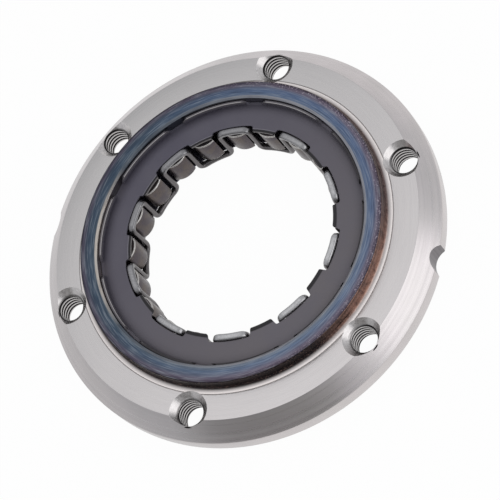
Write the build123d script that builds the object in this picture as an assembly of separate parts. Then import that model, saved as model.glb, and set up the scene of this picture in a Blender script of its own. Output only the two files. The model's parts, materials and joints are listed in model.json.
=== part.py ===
from build123d import *
import os
from math import asin, cos, degrees, radians, sin, sqrt, tan

# Sprag clutch with a bolt-on outer race. Millimetres. The clutch axis is Z, the back face
# lies at Z = 0 and the front face, with the raised boss, looks along +Z

# Outer race
race_diameter = 110.0
flange_thickness = 9.0
bevel_width = 4.7
bevel_drop = 4.95
track_diameter = 74.0
boss_wall = 4.75
boss_height = 3.5
boss_fillet = 2.4
fillet_steps = 2
groove_width = 0.4
groove_depth = 0.25
register_wall = 3.0
register_height = 2.4
edge_break = 0.5
rear_stop_depth = 1.2
rear_stop_width = 1.5

# Threaded holes and rim notches
hole_count = 6
hole_to_rim = 6.8
thread_diameter = 8.0
countersink_diameter = 10.4
notch_count = 2
notch_radius = 4.6
notch_depth = 1.7
notch_angle = 90.0

# Retainer: a windowed drum with a notched lip, a castellated front plate and a rear flange
waves = 10
cage_angle = 13.5
cage_clearance = 0.1
drum_wall = 0.7
plate_thickness = 0.5
plate_recess = 2.5
lip_height = 1.4
lip_notch_top = 7.0
lip_notch_bottom = 3.7
lip_notch_offset = -10.0
plate_clearance = 0.25
rear_flange_clearance = 0.75
tab_tip_clearance = 0.15
tab_bend_length = 1.0
tab_rise = 0.5
tab_root_width = 7.2
tab_tip_width = 5.6
window_clearance = 0.35

# Sprags, one at each end of every ribbon wave
hub_envelope = 55.0
sprag_length = 8.0
sprag_width = 6.0
sprag_waist = 4.8
outer_cam_radius = 4.4
inner_cam_radius = 4.8
cam_offset = 0.7
track_clearance = 0.08
end_clearance = 0.1

# Ribbon spring: one strip bent into waves that pass before and behind the sprags
strip_width = 1.85
strip_thickness = 1.4
hub_clearance = 0.4
ribbon_length = 11.9
ribbon_proud = 0.5
bend_radius = 1.1
bend_steps = 3
pocket_clearance = 0.5

# Heights, from the back face up
flange_back = register_height
flange_face = flange_back + flange_thickness
boss_face = flange_face + boss_height
plate_top = boss_face - plate_recess
plate_bottom = plate_top - plate_thickness
lip_top = plate_top + lip_height
drum_bottom = rear_stop_depth + cage_clearance
ribbon_front = plate_top + ribbon_proud
ribbon_back = ribbon_front - ribbon_length
sprag_front = ribbon_front - strip_thickness - end_clearance
sprag_back = sprag_front - sprag_length

# Radii, and the places that follow from the fits
race_radius = race_diameter / 2
track_radius = track_diameter / 2
boss_radius = track_radius + boss_wall
register_radius = track_radius + register_wall
hole_circle_radius = race_radius - hole_to_rim
drum_outer = track_radius - cage_clearance
drum_inner = drum_outer - drum_wall
pivot_radius = track_radius - track_clearance - outer_cam_radius
ribbon_inner = hub_envelope / 2 + hub_clearance
ribbon_mid = ribbon_inner + strip_width / 2
plate_bore_radius = ribbon_inner + strip_width + plate_clearance
rear_flange_radius = ribbon_inner + strip_width + rear_flange_clearance
rear_flange_top = drum_bottom + plate_thickness
tab_tip_radius = ribbon_inner + tab_tip_clearance
tab_bend_radius = tab_tip_radius + tab_bend_length
wave_pitch = 360 / waves
sprag_pitch = wave_pitch / 2
front_pocket_width = sprag_width + 2 * pocket_clearance
leg_angle = degrees(asin((front_pocket_width + strip_thickness) / 2 / ribbon_mid))
cut_margin = 1.0


def revolved(points):
    """A ring from a closed outline of (radius, height) points."""
    outline = make_face(Plane.XZ * Polyline(*points, close=True))
    return revolve(outline, Axis.Z)


def spoke(angle):
    """A frame at the clutch axis, X pointing outwards at the angle."""
    return Rot(0, 0, angle)


def race_blank():
    """The turned ring: flange with its bevel, front boss, rear register and track."""
    groove_inner = boss_radius + boss_fillet
    groove_outer = groove_inner + groove_width
    fillet = []
    for i in range(1, fillet_steps + 1):
        turn = radians(90 * i / fillet_steps)
        across = groove_inner - boss_fillet * sin(turn)
        fillet.append((across, flange_face + boss_fillet * (1 - cos(turn))))
    return revolved(
        [
            (track_radius - rear_stop_width, 0),
            (register_radius, 0),
            (register_radius, flange_back),
            (race_radius - edge_break, flange_back),
            (race_radius, flange_back + edge_break),
            (race_radius, flange_face - bevel_drop),
            (race_radius - bevel_width, flange_face),
            (groove_outer, flange_face),
            (groove_outer, flange_face - groove_depth),
            (groove_inner, flange_face - groove_depth),
            (groove_inner, flange_face),
            *fillet,
            (boss_radius, boss_face),
            (track_radius + edge_break, boss_face),
            (track_radius, boss_face - edge_break),
            (track_radius, rear_stop_depth),
            (track_radius - rear_stop_width, rear_stop_depth),
        ]
    )


def threaded_hole():
    """Cutter for one hole at the thread's nominal size, countersunk in front."""
    thread = thread_diameter / 2
    mouth = countersink_diameter / 2
    sink = mouth - thread
    outline = Polyline(
        (0, -cut_margin),
        (thread, -cut_margin),
        (thread, flange_face - sink),
        (mouth, flange_face),
        (mouth, boss_face + cut_margin),
        (0, boss_face + cut_margin),
        close=True,
    )
    cutter = revolve(make_face(Plane.XZ * outline), Axis.Z)
    return Pos(hole_circle_radius, 0, 0) * cutter


def outer_race():
    """The hardened race with its threaded holes and the two round notches in the rim."""
    race = race_blank()
    for i in range(hole_count):
        race -= spoke(i * 360 / hole_count) * threaded_hole()
    reach = flange_thickness + 2 * cut_margin
    notch = Cylinder(notch_radius, reach, align=(Align.CENTER, Align.CENTER, Align.MIN))
    notch_centre = race_radius - notch_depth + notch_radius
    for i in range(notch_count):
        place = spoke(notch_angle + i * 360 / notch_count)
        race -= place * Pos(notch_centre, 0, flange_back - cut_margin) * notch
    return race


def plate_opening():
    """Outline of the hole in the front plate: a circle with a tab standing in at each rear wave."""
    opening = Circle(plate_bore_radius)
    root_reach = plate_bore_radius + cut_margin
    tip_reach = tab_tip_radius - cut_margin
    tab = make_face(
        Polyline(
            (root_reach, -tab_root_width / 2),
            (tip_reach, -tab_tip_width / 2),
            (tip_reach, tab_tip_width / 2),
            (root_reach, tab_root_width / 2),
            close=True,
        )
    )
    for i in range(waves):
        opening -= spoke(cage_angle + sprag_pitch + i * wave_pitch) * tab
    return opening


def lip_notch():
    """Cutter for one notch through the lip, wider at its edge, half way down the plate's rim."""
    rise = lip_height + cut_margin
    spread = lip_notch_bottom + (lip_notch_top - lip_notch_bottom) * rise / lip_height
    floor = plate_top - plate_thickness / 2
    outline = Polyline(
        (-lip_notch_bottom / 2, floor),
        (lip_notch_bottom / 2, floor),
        (lip_notch_bottom / 2, plate_top),
        (spread / 2, plate_top + rise),
        (-spread / 2, plate_top + rise),
        (-lip_notch_bottom / 2, plate_top),
        close=True,
    )
    profile = make_face(Plane.YZ * outline)
    block = extrude(profile, track_radius + cut_margin, (1, 0, 0))
    return block - Cylinder(drum_inner, 2 * boss_face + 2 * cut_margin)


def window():
    """Cutter for one window of the drum, as wide as the outer cam there and its clearance."""
    half_cam = sqrt(outer_cam_radius**2 - (drum_inner - pivot_radius) ** 2)
    low = sprag_back - end_clearance
    high = sprag_front + end_clearance
    cutter = Box(drum_wall + 2 * cut_margin, 2 * (half_cam + window_clearance), high - low)
    return Pos((drum_inner + drum_outer) / 2, 0, (low + high) / 2) * cutter


def retainer():
    """The pressed cage: drum with windows, notched lip, rear flange and plate with bent tabs."""
    cage = revolved(
        [
            (rear_flange_radius, drum_bottom),
            (drum_outer, drum_bottom),
            (drum_outer, lip_top),
            (drum_inner, lip_top),
            (drum_inner, plate_top),
            (tab_bend_radius, plate_top),
            (tab_tip_radius, plate_top + tab_rise),
            (tab_tip_radius, plate_bottom + tab_rise),
            (tab_bend_radius, plate_bottom),
            (drum_inner, plate_bottom),
            (drum_inner, rear_flange_top),
            (rear_flange_radius, rear_flange_top),
        ]
    )
    opening_depth = plate_thickness + tab_rise + 2 * cut_margin
    cage -= Pos(0, 0, plate_bottom - cut_margin) * extrude(plate_opening(), opening_depth)
    for i in range(waves):
        front_wave = cage_angle + i * wave_pitch
        cage -= spoke(front_wave + lip_notch_offset) * lip_notch()
    for i in range(2 * waves):
        cage -= spoke(cage_angle + i * sprag_pitch) * window()
    return cage


def ribbon_bend(height, turn):
    """A quarter bend at the end of a leg, towards +Y for turn 1 and -Y for turn -1."""
    up = 1 if height > (ribbon_front + ribbon_back) / 2 else -1
    sides = []
    for radius in (bend_radius + strip_thickness / 2, bend_radius - strip_thickness / 2):
        side = []
        for i in range(bend_steps + 1):
            angle = radians(90 * i / bend_steps)
            across = turn * (bend_radius - radius * cos(angle))
            side.append((across, height - up * (bend_radius - radius * sin(angle))))
        sides.append(side)
    outer, inner = sides
    profile = make_face(Plane.YZ * Polyline(*outer, *reversed(inner), close=True))
    return Pos(ribbon_inner, 0, 0) * extrude(profile, strip_width, (1, 0, 0))


def ribbon_bar(height, half_angle):
    """The bar that joins two bends across one sprag, curved to run on into both."""
    run_in = bend_radius / tan(radians(half_angle))
    centre = run_in * cos(radians(half_angle)) + bend_radius * sin(radians(half_angle))
    curve = ribbon_mid - run_in
    section = Plane.XZ * Pos(curve, 0) * Rectangle(strip_width, strip_thickness)
    arc = revolve(Rot(0, 0, -half_angle) * section, Axis.Z, 2 * half_angle)
    return Pos(centre, 0, height) * arc


def ribbon_spring():
    """The waves of the strip: legs between the sprags, bars in front and behind in turn."""
    front = ribbon_front - strip_thickness / 2
    back = ribbon_back + strip_thickness / 2
    straight = ribbon_length - strip_thickness - 2 * bend_radius
    leg = Pos(ribbon_mid, 0, (front + back) / 2) * Box(strip_width, strip_thickness, straight)
    pieces = []
    for i in range(waves):
        front_wave = cage_angle + i * wave_pitch
        rear_wave = front_wave + sprag_pitch
        pieces.append(spoke(front_wave) * ribbon_bar(front, leg_angle))
        pieces.append(spoke(rear_wave) * ribbon_bar(back, sprag_pitch - leg_angle))
        for side in (-1, 1):
            place = spoke(front_wave + side * leg_angle)
            pieces.append(place * leg)
            pieces.append(place * ribbon_bend(front, -side))
            pieces.append(place * ribbon_bend(back, side))
    return pieces[0].fuse(*pieces[1:]).clean()


def sprag():
    """One sprag on the X axis: two cams of different centres and a waist between them."""
    half = sprag_width / 2
    outer_x = pivot_radius + sqrt(outer_cam_radius**2 - half**2)
    inner_centre = sqrt((hub_envelope / 2 + inner_cam_radius) ** 2 - cam_offset**2)
    low_x = inner_centre - sqrt(inner_cam_radius**2 - (half - cam_offset) ** 2)
    high_x = inner_centre - sqrt(inner_cam_radius**2 - (half + cam_offset) ** 2)
    waist_x = (outer_x + high_x) / 2
    outline = Curve(
        [
            ThreePointArc((outer_x, -half), (pivot_radius + outer_cam_radius, 0), (outer_x, half)),
            Polyline((outer_x, half), (waist_x, sprag_waist / 2), (high_x, half)),
            ThreePointArc((high_x, half), (inner_centre - inner_cam_radius, -cam_offset), (low_x, -half)),
            Polyline((low_x, -half), (waist_x, -sprag_waist / 2), (outer_x, -half)),
        ]
    )
    return Pos(0, 0, sprag_back) * extrude(make_face(outline), sprag_length)


os.makedirs("parts", exist_ok=True)
export_step(outer_race(), "parts/outer_race.step")
export_step(retainer(), "parts/retainer.step")
export_step(ribbon_spring(), "parts/ribbon_spring.step")
one_sprag = sprag()
for i in range(2 * waves):
    export_step(spoke(cage_angle + i * sprag_pitch) * one_sprag, f"parts/sprag_{i + 1:02d}.step")
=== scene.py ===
import json
from math import atan2, cos, pi, radians, sin, sqrt, tan

import bmesh
import bpy
from mathutils import Matrix, Vector

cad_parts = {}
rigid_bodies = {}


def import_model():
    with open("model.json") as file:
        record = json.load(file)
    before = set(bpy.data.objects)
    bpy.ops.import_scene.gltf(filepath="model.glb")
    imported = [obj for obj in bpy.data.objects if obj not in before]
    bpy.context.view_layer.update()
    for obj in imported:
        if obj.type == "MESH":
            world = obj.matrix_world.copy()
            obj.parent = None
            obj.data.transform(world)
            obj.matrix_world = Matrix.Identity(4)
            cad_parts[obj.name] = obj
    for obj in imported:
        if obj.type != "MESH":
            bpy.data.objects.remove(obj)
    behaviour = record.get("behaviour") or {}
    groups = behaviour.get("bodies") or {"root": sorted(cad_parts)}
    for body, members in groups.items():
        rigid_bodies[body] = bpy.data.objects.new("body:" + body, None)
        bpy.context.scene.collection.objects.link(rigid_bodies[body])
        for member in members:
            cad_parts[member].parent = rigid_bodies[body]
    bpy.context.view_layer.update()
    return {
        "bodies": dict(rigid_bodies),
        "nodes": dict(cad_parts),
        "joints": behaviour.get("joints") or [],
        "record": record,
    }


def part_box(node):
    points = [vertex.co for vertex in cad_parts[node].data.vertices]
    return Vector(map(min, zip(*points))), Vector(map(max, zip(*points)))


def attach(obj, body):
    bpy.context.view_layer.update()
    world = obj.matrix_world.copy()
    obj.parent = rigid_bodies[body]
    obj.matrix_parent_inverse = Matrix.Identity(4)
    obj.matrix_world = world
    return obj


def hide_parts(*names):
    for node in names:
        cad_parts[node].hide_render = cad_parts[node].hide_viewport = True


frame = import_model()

# Sprag clutch. Sizes are in millimetres and degrees, and MM turns them into metres
MM = 0.001

# Places read from the frame
race_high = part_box("outer_race")[1]
cage_low, cage_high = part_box("retainer")
strip_low, strip_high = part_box("ribbon_spring")
sprag_low, sprag_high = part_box("sprag_01")
race_radius = race_high[0] / MM
boss_face = race_high[2] / MM
lip_top = cage_high[2] / MM
drum_bottom = cage_low[2] / MM
ribbon_front = strip_high[2] / MM
ribbon_back = strip_low[2] / MM
sprag_front = sprag_high[2] / MM
sprag_back = sprag_low[2] / MM

# Outer race
race_segments = 288
flange_back = 2.4
flange_face = 11.4
bevel_width = 4.7
bevel_drop = 4.95
boss_radius = 41.75
boss_fillet = 1.65
mouth_width = 0.65
mouth_depth = 0.35
groove_middle = 43.6
groove_width = 0.24
groove_depth = 0.25
register_radius = 40.0
track_radius = 37.0
rear_stop_depth = 1.2
rear_stop_width = 1.5

# Screw holes and rim notches, and how far their cutters reach past the faces
hole_count = 6
hole_circle_radius = 48.2
thread_major = 4.0
thread_minor = 3.38
thread_pitch = 1.25
thread_half_angle = 30
mouth_radius = 5.2
rear_mouth_radius = 4.5
cone_overrun = 0.3
notch_radius = 4.6
notch_depth = 1.7
notch_angles = (90, 270)
notch_segments = 96
cut_reach = 1

# Cage
waves = 10
wave_pitch = 36.0
sprag_pitch = 18.0
cage_angle = 13.5
drum_inner = 36.2
drum_outer = 36.9
drum_edge = 0.2
drum_edge_middle = 0.06
rear_flange_radius = 30.15
rear_flange_thickness = 0.5
rear_flange_edge = 0.15
plate_top = 12.4
plate_thickness = 0.5
plate_edge_size = 0.1
plate_radii = [28.75, 28.95, 29.15, 29.4, 30.6, 33.0, 35.9]
plate_bore_radius = 30.0
corner_radius = 36.06
corner_drop = 0.12
tab_tip_radius = 28.05
tab_bend_radius = 29.05
tab_bend_ease = 0.2
tab_rise = 0.5
tab_half_angle = 6.0
tab_root_angle = 7.2
tab_fillet = 0.5
root_fillet = 0.6
tab_tip_angles = (-4, -2, 0, 2, 4)
plate_bore_angles = (9, 11, 13, 15, 17, 18, 19, 21, 23, 25, 27)
lip_edge = 0.16
lip_edge_middle_in = 0.05
lip_edge_middle_down = 0.04
lip_notch_offset = -10.0
lip_notch_half_widths = (1.85, 2.1, 3.9)
lip_notch_step_rise = 0.1
lip_notch_overrun = 0.35
lip_notch_floor_fillet = 0.2
lip_notch_step_fillet = 0.3
lip_notch_radii = (36.13, 38)
window_half_width = 2.76
window_heights = (3.3, 11.5)
window_corner = 0.5
window_radii = (35.6, 37.5)
weld_distance = 0.002

# Ribbon spring
ribbon_inner = 27.9
strip_width = 1.85
strip_thickness = 1.4
strip_edge = 0.64
leg_angle = 8.383
bend_radius = 1.6
route_step = 1.2

# Sprags
pivot_radius = 32.52
outer_cam_radius = 4.4
inner_cam_radius = 4.8
cam_offset = 0.7
cam_steps = 20
sprag_width = 6.0
sprag_waist = 4.8
waist_steps = 12
sprag_edge = 0.3
sprag_edge_steps = 3
hub_radius = 27.5

# Angles above which the edges of a piece are drawn sharp
plain_crease = 35
race_crease = 32
cage_crease = 38
ribbon_crease = 60
sprag_crease = 40

# Azimuth of the side on which the photograph shows most pieces palest, towards which pieces are
# painted lighter as painted light
painted_light_side = 235


def rounded(corners, steps=6):
    """Points of a closed outline whose corners (x, y, radius) are rounded by arcs."""
    points = []
    count = len(corners)
    for i, (x, y, radius) in enumerate(corners):
        here = Vector((x, y))
        before = (Vector(corners[i - 1][:2]) - here).normalized()
        after = (Vector(corners[(i + 1) % count][:2]) - here).normalized()
        half = before.angle(after) / 2
        if radius == 0:
            points.append(here)
            continue
        centre = here + (before + after).normalized() * radius / sin(half)
        start = here + before * radius / tan(half) - centre
        sweep = start.angle_signed(here + after * radius / tan(half) - centre)
        for k in range(steps + 1):
            points.append(centre + Matrix.Rotation(-sweep * k / steps, 2) @ start)
    return points


def inset(outline, amount):
    """The outline moved inwards by an amount."""
    moved = []
    count = len(outline)
    for i, point in enumerate(outline):
        along = Vector(outline[(i + 1) % count]) - Vector(outline[i - 1])
        moved.append(Vector(point) + Vector((-along.y, along.x)).normalized() * amount)
    return moved


def arc_through(centre, radius, start, end, steps):
    """Points on the shorter arc about a centre from start to end."""
    first = atan2(start[1] - centre[1], start[0] - centre[0])
    last = atan2(end[1] - centre[1], end[0] - centre[0])
    if last - first > pi:
        last -= 2 * pi
    if first - last > pi:
        last += 2 * pi
    turns = [first + (last - first) * k / steps for k in range(steps + 1)]
    return [(centre[0] + radius * cos(t), centre[1] + radius * sin(t)) for t in turns]


def circle(radius, height, segments):
    """Points of a level circle about the Z axis."""
    turns = [2 * pi * i / segments for i in range(segments)]
    return [(radius * cos(t), radius * sin(t), height) for t in turns]


def make_piece(name, points, faces, materials, crease=plain_crease, face_slots=None):
    """A mesh object from points in millimetres, smooth up to the crease angle."""
    mesh = bpy.data.meshes.new(name)
    mesh.from_pydata([Vector(p) * MM for p in points], [], faces)
    for material in materials:
        mesh.materials.append(material)
    if face_slots:
        mesh.polygons.foreach_set("material_index", face_slots)
    mesh.shade_smooth()
    mesh.set_sharp_from_angle(angle=radians(crease))
    piece = bpy.data.objects.new(name, mesh)
    bpy.context.scene.collection.objects.link(piece)
    return piece


def ring_faces(columns, rows, turned_round=False):
    """Faces of a closed ring of columns, each a closed outline of that many rows."""
    faces = []
    for i in range(columns):
        step = rows if i < columns - 1 else rows - rows * columns
        for j in range(rows):
            a, b = i * rows + j, i * rows + (j + 1) % rows
            faces.append((a, b, b + step, a + step) if turned_round else (a, a + step, b + step, b))
    return faces


def stacked_faces(levels, count):
    """Side faces between outlines of count points, one above the other."""
    faces = []
    for j in range(levels - 1):
        for i in range(count):
            a, b = j * count + i, j * count + (i + 1) % count
            faces.append((a, b, b + count, a + count))
    return faces


def lathe(outline, segments):
    """Points and faces of a ring with a closed outline of (radius, height)."""
    points = []
    for i in range(segments):
        turn = 2 * pi * i / segments
        points += [(r * cos(turn), r * sin(turn), z) for r, z in outline]
    return points, ring_faces(segments, len(outline))


def disc_stack(rings, segments=48):
    """A turned solid given by rings of (radius, height), capped at both ends."""
    points = []
    for r, z in rings:
        points += circle(r, z, segments)
    top = (len(rings) - 1) * segments
    faces = [tuple(range(segments - 1, -1, -1))]
    faces += stacked_faces(len(rings), segments)
    faces.append(tuple(range(top, top + segments)))
    return points, faces


def prism(outline, near, far):
    """Points and faces of a prism along X, from its outline in Y and Z."""
    count = len(outline)
    points = [(x, *p) for x in (near, far) for p in outline]
    faces = [tuple(range(count - 1, -1, -1)), tuple(range(count, 2 * count))]
    return points, faces + stacked_faces(2, count)


def thread_rod(low, high, segments=36):
    """A rod with an outside thread, which leaves the thread of a hole when it is cut away."""
    flank = (thread_major - thread_minor) * tan(radians(thread_half_angle))
    root = thread_pitch / 8
    crest = thread_pitch - root - 2 * flank
    section = [(thread_major, 0), (thread_major, root), (thread_minor, root + flank)]
    section.append((thread_minor, root + flank + crest))
    rows = len(section)
    last = int((high - low) / thread_pitch) * segments
    points = []
    for i in range(last + 1):
        turn = 2 * pi * i / segments
        lift = low + thread_pitch * i / segments
        points += [(r * cos(turn), r * sin(turn), lift + z) for r, z in section]
    faces = []
    for i in range(last):
        a = i * rows
        faces += [(a + j, a + rows + j, a + rows + j + 1, a + j + 1) for j in range(rows - 1)]
        if i + segments < last:
            above = a + segments * rows
            faces.append((a + rows - 1, a + 2 * rows - 1, above + rows, above))
    start = len(points)
    points += [(0, 0, low - thread_pitch), (0, 0, high + 2 * thread_pitch)]
    for i in range(segments):
        faces.append((start, (i + 1) * rows, i * rows))
    faces.append((start, *range(rows), segments * rows))
    for i in range(last - segments, last):
        faces.append((start + 1, i * rows + rows - 1, (i + 1) * rows + rows - 1))
    ring = [last * rows + j for j in range(rows - 1, -1, -1)]
    faces.append((start + 1, *ring, (last - segments) * rows + rows - 1))
    return points, faces


def spoke(angle, radius):
    """A frame at a radius on the spoke at that angle, X pointing outwards."""
    return Matrix.Rotation(radians(angle), 4, "Z") @ Matrix.Translation((radius, 0, 0))


def make_cutter(name, shapes, copies, materials, slot):
    """One object with a copy of each shape at each of the places, to be cut from a piece."""
    all_points, all_faces = [], []
    for points, faces in shapes:
        for matrix in copies:
            first = len(all_points)
            all_points += [matrix @ Vector(p) for p in points]
            all_faces += [tuple(first + k for k in face) for face in faces]
    slots = [slot] * len(all_faces)
    return make_piece(name, all_points, all_faces, materials, face_slots=slots)


def cut_away(piece, cutters, crease):
    """Cuts the cutters out of a piece, one after the other, and removes them."""
    for cutter in cutters:
        modifier = piece.modifiers.new("cut", "BOOLEAN")
        modifier.operation = "DIFFERENCE"
        modifier.solver = "EXACT"
        modifier.object = cutter
    graph = bpy.context.evaluated_depsgraph_get()
    mesh = bpy.data.meshes.new_from_object(piece.evaluated_get(graph))
    piece.modifiers.clear()
    piece.data = mesh
    for cutter in cutters:
        bpy.data.objects.remove(cutter)
    mesh.set_sharp_from_angle(angle=radians(crease))


class Nodes:
    """A short way to write a material's or world's nodes."""

    def __init__(self, tree):
        self.tree = tree
        self.tree.nodes.clear()

    def add(self, kind, inputs=None, **settings):
        node = self.tree.nodes.new(kind)
        for key, value in settings.items():
            setattr(node, key, value)
        for key, value in (inputs or {}).items():
            if isinstance(value, bpy.types.NodeSocket):
                self.tree.links.new(value, node.inputs[key])
            else:
                node.inputs[key].default_value = value
        return node

    def math(self, operation, a, b=0.0, c=0.0):
        node = self.add("ShaderNodeMath", {0: a, 1: b, 2: c}, operation=operation)
        return node.outputs[0]

    def mix(self, factor, a, b):
        node = self.add("ShaderNodeMix", {0: factor, 6: a, 7: b}, data_type="RGBA")
        return node.outputs[2]

    def ramp(self, value, stops):
        """A colour ramp over 0 to 1 with (place, colour) stops."""
        node = self.add("ShaderNodeValToRGB", {0: value})
        elements = node.color_ramp.elements
        while len(elements) < len(stops):
            elements.new(0.5)
        for element, (place, tone) in zip(elements, stops):
            element.position = place
            element.color = tone
        return node.outputs[0]

    def fit(self, value, low, high, to_low=0.0, to_high=1.0):
        """The value's range low to high carried over to another range, and held at its ends."""
        inputs = {0: value, 1: low, 2: high, 3: to_low, 4: to_high}
        return self.add("ShaderNodeMapRange", inputs, clamp=True).outputs[0]

    def place(self):
        """Sets where, the position in millimetres, its distance across from the axis and height."""
        point = self.add("ShaderNodeTexCoord").outputs["Object"]
        scaled = self.add("ShaderNodeVectorMath", {0: point, 3: 1 / MM}, operation="SCALE")
        self.where = scaled.outputs[0]
        parts = self.add("ShaderNodeSeparateXYZ", {0: self.where})
        self.x, self.y, self.height = parts.outputs
        self.across = self.length(self.x, self.y)

    def length(self, x, y):
        """Length of a flat vector."""
        return self.math("SQRT", self.math("MULTIPLY_ADD", x, x, self.math("MULTIPLY", y, y)))

    def toward(self, azimuth, low, high, to_low=0.0, to_high=1.0):
        """Fit of the cosine of the angle round the clutch axis between a point and the azimuth."""
        turn = radians(azimuth)
        part = self.math("MULTIPLY", self.y, sin(turn))
        part = self.math("MULTIPLY_ADD", self.x, cos(turn), part)
        return self.fit(self.math("DIVIDE", part, self.across), low, high, to_low, to_high)

    def noise(self, scale, detail=4.0, roughness=0.5, where=None):
        """Noise over the position, or over another vector."""
        if where is None:
            where = self.where
        inputs = {"Vector": where, "Scale": scale, "Detail": detail, "Roughness": roughness}
        return self.add("ShaderNodeTexNoise", inputs).outputs[0]

    def streaks(self, rate, stretch, detail=4.0):
        """Noise drawn out along the turned rings, with no seam."""
        pull = self.math("DIVIDE", boss_radius * rate / stretch, self.across)
        drawn = self.add("ShaderNodeCombineXYZ", {
            0: self.math("MULTIPLY", self.across, rate),
            1: self.math("MULTIPLY", self.x, pull),
            2: self.math("MULTIPLY", self.y, pull),
        })
        return self.noise(1.0, detail, where=drawn.outputs[0])

    def lines(self, along, scale):
        """Noise along one value only, which gives turned rings."""
        inputs = {"W": along, "Scale": scale, "Detail": 3.0}
        return self.add("ShaderNodeTexNoise", inputs, noise_dimensions="1D").outputs[0]

    def hole_distance(self):
        """Distance from the axis of the nearest screw hole."""
        half = pi / hole_count
        turn = self.math("WRAP", self.math("ARCTAN2", self.y, self.x), half, -half)
        x = self.math("MULTIPLY", self.across, self.math("COSINE", turn))
        x = self.math("SUBTRACT", x, hole_circle_radius)
        return self.length(x, self.math("MULTIPLY", self.across, self.math("SINE", turn)))

    def bump(self, height, strength, distance):
        inputs = {"Height": height, "Strength": strength, "Distance": distance * MM}
        return self.add("ShaderNodeBump", inputs).outputs[0]


def colour(red, green, blue):
    """A linear colour from screen values of 0 to 255."""
    def linear(value):
        share = value / 255
        return share / 12.92 if share <= 0.04045 else ((share + 0.055) / 1.055) ** 2.4
    return (linear(red), linear(green), linear(blue), 1.0)


def new_material(name):
    """An empty material, and the writer of its nodes."""
    material = bpy.data.materials.new(name)
    material.use_nodes = True
    return material, Nodes(material.node_tree)


def metal(name, build, **fixed):
    """A metal: build returns the linked inputs, and fixed holds those that are even all over."""
    material, nodes = new_material(name)
    nodes.place()
    inputs = {"Metallic": 1.0, **fixed}
    inputs.update(build(nodes))
    shader = nodes.add("ShaderNodeBsdfPrincipled", inputs)
    nodes.add("ShaderNodeOutputMaterial", {0: shader.outputs[0]})
    return material


def flange_tones(nodes):
    """Base colour of the flange and its bevel, with painted light: lighter towards one side, and
    the bevel darker towards another as painted shade.
    """
    fit, mix, toward = nodes.fit, nodes.mix, nodes.toward
    cloud = nodes.noise(0.09, 3.0)
    # Painted light: the face is lighter towards azimuth 220, and the bevel lighter towards the lit
    # side
    face = mix(toward(220, -1.0, 1.0), colour(184, 181, 180), colour(208, 203, 202))
    bevel = mix(toward(painted_light_side, -0.8, 0.6), colour(182, 177, 178), colour(202, 197, 196))
    bevel = mix(fit(cloud, 0.35, 0.65, 0.0, 0.4), bevel, colour(212, 204, 206))
    # Painted shade: the bevel is darker towards azimuth 145
    bevel = mix(toward(145, 0.3, 1.0, 0.0, 0.6), bevel, colour(168, 165, 166))
    edge = race_radius - bevel_width
    steel = mix(fit(nodes.across, edge - 0.05, edge + 0.1), face, bevel)
    turned = nodes.streaks(2.6, 24.0)
    return mix(fit(turned, 0.35, 0.75, 0.0, 0.13), steel, colour(164, 160, 162))


def blued_tones(nodes):
    """Heat colours on the boss's front, in rings and with a bluer and a teal side, and a painted
    highlight on its inner edge on one side.
    """
    fit, mix, toward, across = nodes.fit, nodes.mix, nodes.toward, nodes.across
    blued = nodes.ramp(fit(across, track_radius, boss_radius), [
        (0.0, colour(150, 150, 156)),
        (0.13, colour(158, 158, 164)),
        (0.16, colour(110, 117, 128)),
        (0.38, colour(98, 112, 135)),
        (0.55, colour(102, 108, 127)),
        (0.73, colour(104, 97, 112)),
        (0.86, colour(84, 75, 88)),
        (0.96, colour(56, 48, 56)),
        (1.0, colour(50, 42, 48)),
    ])
    zones = [
        (toward(95, -0.3, 0.7, 0.0, 0.75),
         fit(across, boss_radius - 1.7, boss_radius - 0.9, 1.0, 0.3), colour(46, 62, 74)),
        # Painted highlight: a pale cream band on the inner edge, on one side only
        (toward(104, 0.8, 0.98),
         fit(across, track_radius + 0.5, track_radius + 0.7, 1.0, 0.0), colour(214, 204, 194)),
        (nodes.math("MULTIPLY", toward(325, 0.0, 0.9, 0.0, 0.55),
                    fit(across, boss_radius - 2.2, boss_radius - 1.6, 1.0, 0.0)),
         fit(across, track_radius + 0.6, track_radius + 0.8), colour(76, 94, 126)),
    ]
    for side, band, tone in zones:
        blued = mix(nodes.math("MULTIPLY", side, band), blued, tone)
    rings = nodes.streaks(3.6, 20.0, 5.0)
    blued = mix(fit(rings, 0.5, 0.72, 0.0, 0.5), blued, colour(146, 152, 160))
    blued = mix(fit(rings, 0.3, 0.48, 0.5, 0.0), blued, colour(52, 56, 70))
    spots = nodes.math("MULTIPLY", fit(nodes.noise(2.4, 3.0), 0.56, 0.66),
                       toward(300, -0.3, 0.8, 0.0, 0.6))
    outer = fit(across, boss_radius - 1.8, boss_radius - 1.0)
    return mix(nodes.math("MULTIPLY", spots, outer), blued, colour(180, 168, 180))


def boss_side_tones(nodes):
    """The boss's dark side with rust and specks, lighter towards one side as painted light and with
    a painted sheen towards another, and its bright foot.
    """
    fit, mix, toward = nodes.fit, nodes.mix, nodes.toward
    # Painted light: the side is lighter towards azimuth 320, with a narrow painted sheen of pale
    # brown towards azimuth 257
    side = mix(toward(320, 0.0, 0.7), colour(42, 38, 40), colour(104, 88, 86))
    side = mix(toward(257, 0.88, 0.99), side, colour(134, 102, 90))
    grain = nodes.streaks(2.0, 2.5, 6.0)
    side = mix(fit(grain, 0.45, 0.62, 0.0, 0.6), side, colour(58, 46, 46))
    specks = fit(nodes.noise(3.0, 2.0), 0.56, 0.66, 0.0, 0.45)
    side = mix(specks, side, colour(156, 130, 120))
    foot = fit(nodes.height, flange_face + 0.05, flange_face + 0.55, 1.0, 0.0)
    return mix(nodes.math("POWER", foot, 1.5), side, colour(232, 224, 221))


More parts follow.
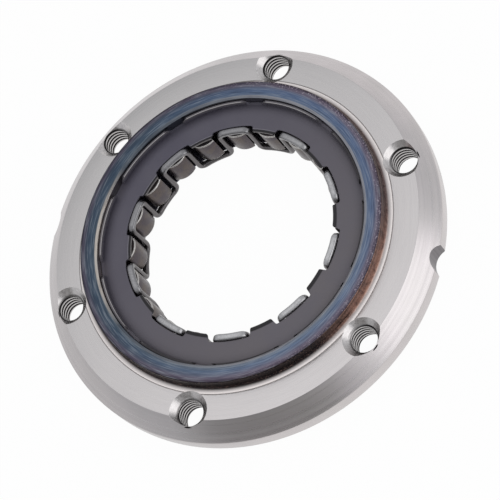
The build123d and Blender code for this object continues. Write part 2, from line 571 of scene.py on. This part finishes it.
def turned_steel(nodes):
    """Ground and turned steel, with heat colours on the boss."""
    fit, mix, across = nodes.fit, nodes.mix, nodes.across
    blued, side = blued_tones(nodes), boss_side_tones(nodes)
    boss = mix(fit(across, boss_radius - 0.25, boss_radius - 0.05), blued, side)
    near = fit(across, groove_middle - 0.14, groove_middle - 0.1, 1.0, 0.0)
    in_front = fit(nodes.height, flange_face - 0.3, flange_face - 0.1)
    base = mix(nodes.math("MULTIPLY", near, in_front), flange_tones(nodes), boss)
    along = nodes.math("ADD", across, nodes.math("MULTIPLY", nodes.height, 0.8))
    fine = nodes.lines(along, 9.0)
    tangent = nodes.add("ShaderNodeTangent", direction_type="RADIAL", axis="Z").outputs[0]
    return {"Base Color": base, "Roughness": fit(fine, 0.3, 0.7, 0.26, 0.36),
            "Normal": nodes.bump(fine, 0.15, 0.01), "Tangent": tangent}


def thread_steel(nodes):
    """Tapped steel: narrow bright crests, roots darkened as painted shade, and a bright
    countersink.
    """
    cloud = nodes.noise(1.5, 3.0)
    out = nodes.fit(nodes.hole_distance(), thread_minor, mouth_radius)
    # Painted shade: the thread darkens from its crests down into its roots
    thread = nodes.ramp(out, [
        (0.0, colour(200, 197, 196)),
        (0.02, colour(150, 147, 146)),
        (0.07, colour(60, 57, 57)),
        (0.16, colour(24, 22, 23)),
        (0.37, colour(28, 26, 26)),
        (0.42, colour(186, 183, 182)),
        (1.0, colour(206, 203, 202)),
    ])
    cone = nodes.mix(nodes.fit(cloud, 0.3, 0.7), colour(190, 186, 185), colour(218, 214, 213))
    base = nodes.mix(nodes.fit(nodes.height, flange_face - 1.75, flange_face - 1.3), thread, cone)
    return {"Base Color": base, "Roughness": nodes.fit(cloud, 0.3, 0.7, 0.25, 0.36)}


def notch_steel(nodes):
    """The milled walls of the rim notches, darker as painted shade, with lines along the cut."""
    lines = nodes.lines(nodes.x, 3.0)
    # Painted shade: the notch walls are darker than the rest of the race
    base = nodes.mix(nodes.fit(lines, 0.3, 0.7), colour(104, 101, 104), colour(140, 136, 138))
    return {"Base Color": base, "Roughness": nodes.fit(lines, 0.3, 0.7, 0.32, 0.42)}


def phosphated(nodes):
    """The cage's dark coating, matt, with fine mottling and worn edges, and painted light: lighter
    towards one side, painted shade on the bent tabs and one side of the lip, and a painted
    highlight along the tab bends on one side.
    """
    fit, mix, toward = nodes.fit, nodes.mix, nodes.toward
    across, height = nodes.across, nodes.height
    grain = nodes.noise(6.0, 5.0, 0.65)
    cloud = nodes.noise(0.12, 2.0)
    # Painted light: the coating is lighter towards the lit side
    base = mix(toward(painted_light_side, -1.0, 1.0), colour(82, 79, 92), colour(106, 101, 104))
    base = mix(fit(cloud, 0.35, 0.65, 0.0, 0.4), base, colour(98, 95, 104))
    base = mix(fit(grain, 0.3, 0.75, 0.0, 0.25), base, colour(120, 116, 124))
    # Painted shade: the bent part of each tab is darker
    bent = fit(across, tab_bend_radius - 0.2, tab_bend_radius, 1.0, 0.0)
    base = mix(bent, base, colour(48, 46, 48))
    # Painted highlight: a pale line along the tab bends, on one side only
    bend = nodes.math("MULTIPLY", nodes.math("COMPARE", across, tab_bend_radius + 0.08, 0.08),
                      toward(55, 0.0, 0.6, 0.0, 0.7))
    base = mix(bend, base, colour(150, 146, 152))
    tip = fit(across, tab_tip_radius + 0.06, tab_tip_radius + 0.16, 1.0, 0.0)
    base = mix(tip, base, colour(116, 112, 112))
    raised = fit(height, plate_top + 0.5, plate_top + 0.6)
    base = mix(raised, base, colour(108, 104, 110))
    worn = nodes.math("MULTIPLY", fit(height, lip_top - 0.1, lip_top - 0.02),
                      fit(across, drum_inner + 0.12, drum_inner + 0.2, 1.0, 0.1))
    base = mix(worn, base, colour(190, 186, 184))
    # Painted shade: the lip is darker on the side away from the light
    lip_shade = nodes.math("MULTIPLY", toward(painted_light_side, -0.3, 0.2), raised)
    base = mix(lip_shade, base, colour(58, 55, 58))
    return {"Base Color": base, "Roughness": fit(grain, 0.3, 0.7, 0.42, 0.55),
            "Normal": nodes.bump(grain, 0.12, 0.03)}


def spring_wire(nodes):
    """Drawn spring steel, satin: its front bars painted brighter than its legs as painted light,
    and lighter still towards one side.
    """
    fit, mix = nodes.fit, nodes.mix
    grain = nodes.noise(2.2, 4.0, 0.6)
    # Painted light: the front bars are lighter towards the lit side
    bars = mix(nodes.toward(painted_light_side, -0.6, 0.8), colour(142, 141, 143), colour(190, 189, 190))
    # Painted light: the front bars, which face the light, are brighter than the legs, which are
    # painted darker as painted shade
    front = fit(nodes.height, ribbon_front - 1.6, ribbon_front - 0.7)
    base = mix(front, colour(104, 101, 102), bars)
    base = mix(fit(grain, 0.35, 0.7, 0.0, 0.3), base, colour(110, 107, 108))
    return {"Base Color": base, "Roughness": fit(grain, 0.3, 0.7, 0.24, 0.36),
            "Normal": nodes.bump(grain, 0.08, 0.03)}


def hardened(nodes):
    """The sprags' hardened steel: dark brown and purple grey, ground along the axis."""
    fit, mix = nodes.fit, nodes.mix
    grain = nodes.noise(1.6, 4.0, 0.6)
    zones = nodes.noise(0.35, 2.0)
    streak = nodes.lines(nodes.across, 4.0)
    base = mix(fit(zones, 0.4, 0.6), colour(82, 75, 80), colour(94, 85, 81))
    base = mix(fit(grain, 0.4, 0.7, 0.0, 0.5), base, colour(70, 65, 67))
    return {"Base Color": base, "Roughness": fit(streak, 0.3, 0.7, 0.28, 0.4),
            "Normal": nodes.bump(grain, 0.08, 0.02)}


def ground_edge_highlight(nodes):
    """The ground edges of the sprags, painted bright as a painted highlight."""
    grain = nodes.noise(3.0, 3.0)
    # Painted highlight: the ground edges are painted bright
    base = nodes.mix(nodes.fit(grain, 0.3, 0.7), colour(176, 172, 168), colour(206, 203, 200))
    return {"Base Color": base, "Roughness": nodes.fit(grain, 0.3, 0.7, 0.22, 0.34)}


def make_race(materials):
    """The outer race: a turned ring with threaded, countersunk holes and two rim notches."""
    # Radius, height and rounding of each corner
    outline = rounded([
        (track_radius - rear_stop_width, 0, 0.2),
        (register_radius, 0, 0.5),
        (register_radius, flange_back, 0),
        (race_radius, flange_back, 0.45),
        (race_radius, flange_face - bevel_drop, 0.6),
        (race_radius - bevel_width, flange_face, 0.15),
        (groove_middle + groove_width / 2, flange_face, 0.05),
        (groove_middle, flange_face - groove_depth, 0.05),
        (groove_middle - groove_width / 2, flange_face, 0.02),
        (boss_radius, flange_face, boss_fillet),
        (boss_radius, boss_face, 0.25),
        (track_radius + mouth_width, boss_face, 0.1),
        (track_radius, boss_face - mouth_depth, 0.1),
        (track_radius, rear_stop_depth, 0),
        (track_radius - rear_stop_width, rear_stop_depth, 0.1),
    ])
    race = make_piece("race_body", *lathe(outline, race_segments), materials)
    tip = thread_minor - cone_overrun
    front = disc_stack([
        (tip, flange_face - (mouth_radius - tip)),
        (mouth_radius, flange_face),
        (mouth_radius, boss_face + 2 * cut_reach),
    ])
    rear = disc_stack([
        (rear_mouth_radius, flange_back - cut_reach),
        (rear_mouth_radius, flange_back),
        (tip, flange_back + rear_mouth_radius - tip),
    ])
    rod = thread_rod(flange_back - 3 * cut_reach, boss_face + 3 * cut_reach)
    notch = disc_stack([(notch_radius, flange_back - cut_reach),
                        (notch_radius, flange_face + cut_reach)], notch_segments)
    holes = [spoke(360 * i / hole_count, hole_circle_radius) for i in range(hole_count)]
    notch_centre = race_radius - notch_depth + notch_radius
    notches = [spoke(angle, notch_centre) for angle in notch_angles]
    cut_away(race, [
        make_cutter("rods", [rod], holes, materials, 1),
        make_cutter("mouths", [front, rear], holes, materials, 1),
        make_cutter("notches", [notch], notches, materials, 2),
    ], race_crease)
    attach(race, "race")
    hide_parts("outer_race")


def plate_rise(radius):
    """How far the plate stands above its flat part at a radius, because its tabs are bent up."""
    slope = tab_rise / (tab_bend_radius - tab_tip_radius)
    start = tab_bend_radius + tab_bend_ease
    if radius >= start:
        return 0.0
    if radius <= start - 2 * tab_bend_ease:
        return slope * (tab_bend_radius - radius)
    return slope * (start - radius) ** 2 / (4 * tab_bend_ease)


def plate_edge():
    """Outline of the hole in the plate: a circle with a tab standing in at each rear wave."""
    # Angle, radius and rounding of each corner, over one wave
    places = [(angle, tab_tip_radius, 0.0) for angle in tab_tip_angles]
    places += [(tab_half_angle, tab_tip_radius, tab_fillet),
               (tab_root_angle, plate_bore_radius, root_fillet)]
    places += [(angle, plate_bore_radius, 0.0) for angle in plate_bore_angles]
    places += [(wave_pitch - tab_root_angle, plate_bore_radius, root_fillet),
               (wave_pitch - tab_half_angle, tab_tip_radius, tab_fillet)]
    corners = []
    for i in range(waves):
        turn = Matrix.Rotation(radians(cage_angle + sprag_pitch + i * wave_pitch), 2)
        for angle, r, fillet in places:
            a = radians(angle)
            corners.append((*(turn @ Vector((r * cos(a), r * sin(a)))), fillet))
    return rounded(corners, 5)


def drum_outline():
    """Radius and height of the cage's section, from the plate's corner round to its underside."""
    middle = lip_top - lip_edge_middle_down
    lip = [(drum_inner, lip_top - lip_edge), (drum_inner + lip_edge_middle_in, middle),
           (drum_inner + lip_edge, lip_top), (drum_outer - lip_edge, lip_top),
           (drum_outer - lip_edge_middle_in, middle), (drum_outer, lip_top - lip_edge)]
    turn_in = [(drum_outer, drum_bottom + drum_edge),
               (drum_outer - drum_edge_middle, drum_bottom + drum_edge_middle),
               (drum_outer - drum_edge, drum_bottom)]
    flange_top = drum_bottom + rear_flange_thickness
    flange = [(rear_flange_radius + rear_flange_edge, drum_bottom),
              (rear_flange_radius, drum_bottom + rear_flange_edge),
              (rear_flange_radius, flange_top - rear_flange_edge),
              (rear_flange_radius + rear_flange_edge, flange_top), (drum_inner, flange_top)]
    corner = plate_top - corner_drop
    return [(corner_radius, corner), (drum_inner, corner), *lip, *turn_in, *flange,
            (drum_inner, plate_top - plate_thickness)]


def make_cage(material):
    """The cage: plate with bent tabs, notched lip, windowed drum and rear flange, one pressing."""
    size = plate_edge_size
    edge_rows = [(0.0, size), (0.3 * size, 0.3 * size), (size, 0.0)]
    drum = drum_outline()
    underside = plate_top - plate_thickness
    outline = plate_edge()
    insets = {depth: inset(outline, -depth) for depth, drop in edge_rows}
    points = []
    for i in range(len(outline)):
        inner = insets[size][i]
        out = inner.normalized()
        radii = [max(r, inner.length) for r in plate_radii]
        edge = [(insets[depth][i], drop) for depth, drop in edge_rows]
        points += [(*p, plate_top + plate_rise(p.length) - drop) for p, drop in edge]
        points += [(*(out * r), plate_top + plate_rise(r)) for r in radii]
        points += [(*(out * r), z) for r, z in drum]
        points += [(*(out * r), underside + plate_rise(r)) for r in reversed(radii)]
        points += [(*p, underside + plate_rise(p.length) + drop) for p, drop in reversed(edge)]
    faces = ring_faces(len(outline), len(points) // len(outline))
    cage = make_piece("cage_press", points, faces, [material])
    work = bmesh.new()
    work.from_mesh(cage.data)
    bmesh.ops.remove_doubles(work, verts=work.verts, dist=weld_distance * MM)
    bmesh.ops.recalc_face_normals(work, faces=work.faces)
    work.to_mesh(cage.data)
    work.free()

    floor_half, step_half, top_half = lip_notch_half_widths
    notch_floor = plate_top - plate_thickness / 2
    notch_step = plate_top + lip_notch_step_rise
    notch_top = lip_top + lip_notch_overrun
    notch = rounded([
        (-floor_half, notch_floor, lip_notch_floor_fillet),
        (floor_half, notch_floor, lip_notch_floor_fillet),
        (step_half, notch_step, lip_notch_step_fillet),
        (top_half, notch_top, 0),
        (-top_half, notch_top, 0),
        (-step_half, notch_step, lip_notch_step_fillet),
    ], 4)
    half, (bottom, top) = window_half_width, window_heights
    corners = [(-half, bottom), (half, bottom), (half, top), (-half, top)]
    window = rounded([(*corner, window_corner) for corner in corners], 4)
    notches = [spoke(cage_angle + lip_notch_offset + i * wave_pitch, 0) for i in range(waves)]
    windows = [spoke(cage_angle + i * sprag_pitch, 0) for i in range(2 * waves)]
    cut_away(cage, [
        make_cutter("lip_cuts", [prism(notch, *lip_notch_radii)], notches, [material], 0),
        make_cutter("window_cuts", [prism(window, *window_radii)], windows, [material], 0),
    ], cage_crease)
    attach(cage, "cage")
    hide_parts("retainer")


def with_neighbours(route, ring):
    """Each point of a route round a ring of that length, between the ones before and after it."""
    count = len(route)
    for i, here in enumerate(route):
        before = Vector(route[i - 1]) - Vector((ring if i == 0 else 0, 0))
        after = Vector(route[(i + 1) % count]) + Vector((ring if i == count - 1 else 0, 0))
        yield before, Vector(here), after


def ribbon_route(mid, ring):
    """Points (distance round the ring, height) along the middle of the strip, all round."""
    front = ribbon_front - strip_thickness / 2
    back = ribbon_back + strip_thickness / 2
    leg = leg_angle
    corners = []
    for i in range(waves):
        wave = cage_angle + i * wave_pitch
        for angle, height in ((-leg, back), (-leg, front), (leg, front), (leg, back)):
            corners.append((radians(wave + angle) * mid, height))
    route = []
    for before, here, after in with_neighbours(corners, ring):
        bend = rounded([(*before, 0), (*here, bend_radius), (*after, 0)], 8)[1:-1]
        route += bend
        run = after - here
        straight = run.length - 2 * bend_radius
        pieces = max(2, int(straight / route_step))
        for k in range(1, pieces):
            route.append(bend[-1] + run.normalized() * straight * k / pieces)
    return route


def make_ribbon(material):
    """The ribbon spring: one strip with rounded edges swept round its waves."""
    mid = ribbon_inner + strip_width / 2
    ring = 2 * pi * mid
    route = ribbon_route(mid, ring)
    wide, thick = strip_width / 2, strip_thickness / 2
    corners = [(-wide, -thick), (wide, -thick), (wide, thick), (-wide, thick)]
    section = rounded([(*corner, strip_edge) for corner in corners], 5)
    points = []
    for before, here, after in with_neighbours(route, ring):
        along = (after - before).normalized()
        turn = here.x / mid
        outwards = Vector((cos(turn), sin(turn), 0))
        round_ring = Vector((-sin(turn), cos(turn), 0))
        side = round_ring * -along.y + Vector((0, 0, 1)) * along.x
        centre = outwards * mid + Vector((0, 0, here.y))
        points += [centre + outwards * a + side * b for a, b in section]
    faces = ring_faces(len(route), len(section), turned_round=True)
    ribbon = make_piece("ribbon_strip", points, faces, [material], ribbon_crease)
    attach(ribbon, "ribbon")
    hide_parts("ribbon_spring")


def waist(start, end, depth):
    """Points of a shallow hollow between two corners, at y of depth in its middle."""
    points = []
    for k in range(1, waist_steps):
        share = k / waist_steps
        x = start[0] + (end[0] - start[0]) * share
        y = start[1] + (end[1] - start[1]) * share
        points.append((x, y + (depth - y) * sin(pi * share)))
    return points


def sprag_outline():
    """The section of a sprag on the X axis, anticlockwise."""
    half = sprag_width / 2
    outer_x = pivot_radius + sqrt(outer_cam_radius**2 - half**2)
    inner_centre = sqrt((hub_radius + inner_cam_radius) ** 2 - cam_offset**2)
    low_x = inner_centre - sqrt(inner_cam_radius**2 - (half - cam_offset) ** 2)
    high_x = inner_centre - sqrt(inner_cam_radius**2 - (half + cam_offset) ** 2)
    outer_low, outer_high = (outer_x, -half), (outer_x, half)
    inner_low, inner_high = (low_x, -half), (high_x, half)
    outer = arc_through((pivot_radius, 0), outer_cam_radius, outer_low, outer_high, cam_steps)
    inner = arc_through((inner_centre, -cam_offset), inner_cam_radius, inner_high, inner_low,
                        cam_steps)
    left = waist(outer_high, inner_high, sprag_waist / 2)
    right = waist(inner_low, outer_low, -sprag_waist / 2)
    return outer + left + inner + right


def make_sprags(materials):
    """The sprags, each its own piece, with rounded and ground front and back edges."""
    outline = sprag_outline()
    count = len(outline)
    levels = []
    for k in range(sprag_edge_steps + 1):
        turn = pi / 2 * k / sprag_edge_steps
        levels.append((sprag_edge * (1 - sin(turn)), sprag_edge * (1 - cos(turn))))
    rings = [(sprag_back + rise, depth) for depth, rise in levels]
    rings += [(sprag_front - rise, depth) for depth, rise in reversed(levels)]
    points = []
    for z, depth in rings:
        points += [(p.x, p.y, z) for p in inset(outline, depth)]
    top = (len(rings) - 1) * count
    faces = [tuple(range(count - 1, -1, -1))]
    faces += stacked_faces(len(rings), count)
    faces.append(tuple(range(top, top + count)))
    # The rounded edge bands take the bright edge material, a painted highlight
    bands = [0 if j == sprag_edge_steps else 1 for j in range(len(rings) - 1)]
    slots = [0, *(band for band in bands for i in range(count)), 0]
    for i in range(2 * waves):
        name = f"sprag_{i + 1:02d}"
        turn = Matrix.Rotation(radians(cage_angle + i * sprag_pitch), 4, "Z")
        turned = [turn @ Vector(p) for p in points]
        piece = make_piece(f"{name}_steel", turned, faces, materials, sprag_crease, slots)
        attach(piece, f"{name}_body")
        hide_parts(name)


def make_camera():
    """The photograph's view: tilt from the clutch axis, roll, distance and framing."""
    photo_size = 500.0
    unit = 55.0
    scale = 213.70
    closeness = 0.10
    tilt = radians(31.75)
    roll = radians(45.14)
    offset = Vector((-0.0832, 0.0783, 0))
    photo_turn = 35.25
    sensor = 36.0
    lean = Matrix(((1, 0, 0), (0, cos(tilt), sin(tilt)), (0, -sin(tilt), cos(tilt))))
    spin = Matrix(((cos(roll), -sin(roll), 0), (sin(roll), cos(roll), 0), (0, 0, 1)))
    to_object = Matrix.Rotation(radians(-photo_turn), 3, "Z") @ (spin @ lean).transposed()
    away = Vector((0, 0, 1 / closeness)) - offset
    place = to_object @ away * unit + Vector((0, 0, flange_face))
    data = bpy.data.cameras.new("camera")
    data.lens = sensor * scale / closeness / photo_size
    data.sensor_width = sensor
    data.clip_end = 100
    camera = bpy.data.objects.new("camera", data)
    camera.matrix_world = Matrix.Translation(place * MM) @ to_object.to_4x4()
    bpy.context.scene.collection.objects.link(camera)
    bpy.context.scene.camera = camera


def aimed(azimuth, elevation, distance):
    """A frame round the object, in metres, that looks back at it along its -Z."""
    a, e = radians(azimuth), radians(elevation)
    place = Vector((cos(a) * cos(e), sin(a) * cos(e), sin(e))) * distance
    return Matrix.Translation(place) @ place.to_track_quat("Z", "Y").to_matrix().to_4x4()


def rectangle(width, height):
    """Corners and face of a level rectangle round the origin."""
    x, y = width / 2, height / 2
    return [(-x, -y, 0), (x, -y, 0), (x, y, 0), (-x, y, 0)], [(0, 1, 2, 3)]


def softbox(name, frame, width, height, radiance):
    """A rectangular lamp that faces the object."""
    data = bpy.data.lights.new(name, "AREA")
    data.shape = "RECTANGLE"
    data.size = width
    data.size_y = height
    data.energy = radiance * pi * width * height
    lamp = bpy.data.objects.new(name, data)
    lamp.matrix_world = frame
    lamp.visible_camera = False
    bpy.context.scene.collection.objects.link(lamp)


def flag(name, frame, width, height, shade):
    """A dark card that shows only in reflections."""
    card = make_piece(name, *rectangle(width / MM, height / MM), [card_material(shade)])
    card.matrix_world = frame
    card.visible_camera = False
    card.visible_diffuse = False
    card.visible_shadow = False


def card_material(shade):
    """An even dark grey."""
    material, nodes = new_material("card")
    tone = (shade, shade, shade, 1)
    glow = nodes.add("ShaderNodeEmission", {"Color": tone, "Strength": 1.0})
    nodes.add("ShaderNodeOutputMaterial", {0: glow.outputs[0]})
    return material


def floor_material():
    """Pale paint that keeps a soft shadow, white to the camera and in metal, clear from below."""
    paint_colour = (0.82, 0.82, 0.82, 1)
    white_share = 0.97
    material, nodes = new_material("floor")
    path = nodes.add("ShaderNodeLightPath")
    seen = nodes.math("ADD", path.outputs["Is Camera Ray"], path.outputs["Is Glossy Ray"])
    seen = nodes.math("ADD", seen, path.outputs["Is Transmission Ray"])
    paint = nodes.add("ShaderNodeBsdfDiffuse", {"Color": paint_colour})
    white = nodes.add("ShaderNodeEmission", {"Color": (1, 1, 1, 1), "Strength": 1.0})
    share = nodes.math("MULTIPLY", nodes.math("MINIMUM", seen, 1.0), white_share)
    above = nodes.add("ShaderNodeMixShader", {0: share, 1: paint.outputs[0], 2: white.outputs[0]})
    below = nodes.add("ShaderNodeNewGeometry").outputs["Backfacing"]
    clear = nodes.add("ShaderNodeBsdfTransparent")
    floor = nodes.add("ShaderNodeMixShader", {0: below, 1: above.outputs[0], 2: clear.outputs[0]})
    nodes.add("ShaderNodeOutputMaterial", {0: floor.outputs[0]})
    return material


def make_stage():
    """Floor, world and lamps. Lamps and cards are placed and sized in metres."""
    floor_size = 6000
    sky = (0.95, 0.97, 1.0, 1)
    sky_strength = 0.72
    floor = make_piece("floor", *rectangle(floor_size, floor_size), [floor_material()])
    world = bpy.data.worlds.new("studio")
    world.use_nodes = True
    nodes = Nodes(world.node_tree)
    light = nodes.add("ShaderNodeBackground", {"Color": sky, "Strength": sky_strength})
    nodes.add("ShaderNodeOutputWorld", {0: light.outputs[0]})
    bpy.context.scene.world = world
    softbox("key", aimed(270, 27, 1.2), width=1.15, height=0.75, radiance=0.95)
    softbox("top", aimed(55, 70, 1.2), width=0.8, height=0.8, radiance=0.4)
    flag("flag_left", aimed(190, 24, 0.7), width=0.84, height=0.5, shade=0.3)
    bpy.context.scene.view_settings.view_transform = "Standard"


race_metals = [
    metal("race_steel", turned_steel, Anisotropic=0.5),
    metal("thread_steel", thread_steel),
    metal("notch_steel", notch_steel),
]
cage_coat = metal("cage_coat", phosphated, Metallic=0.5)
wire = metal("spring_wire", spring_wire, Metallic=0.9)
sprag_metals = [
    metal("sprag_steel", hardened, Metallic=0.75),
    metal("ground_edge_highlight", ground_edge_highlight),
]

make_camera()
make_stage()
make_race(race_metals)
make_cage(cage_coat)
make_ribbon(wire)
make_sprags(sprag_metals)
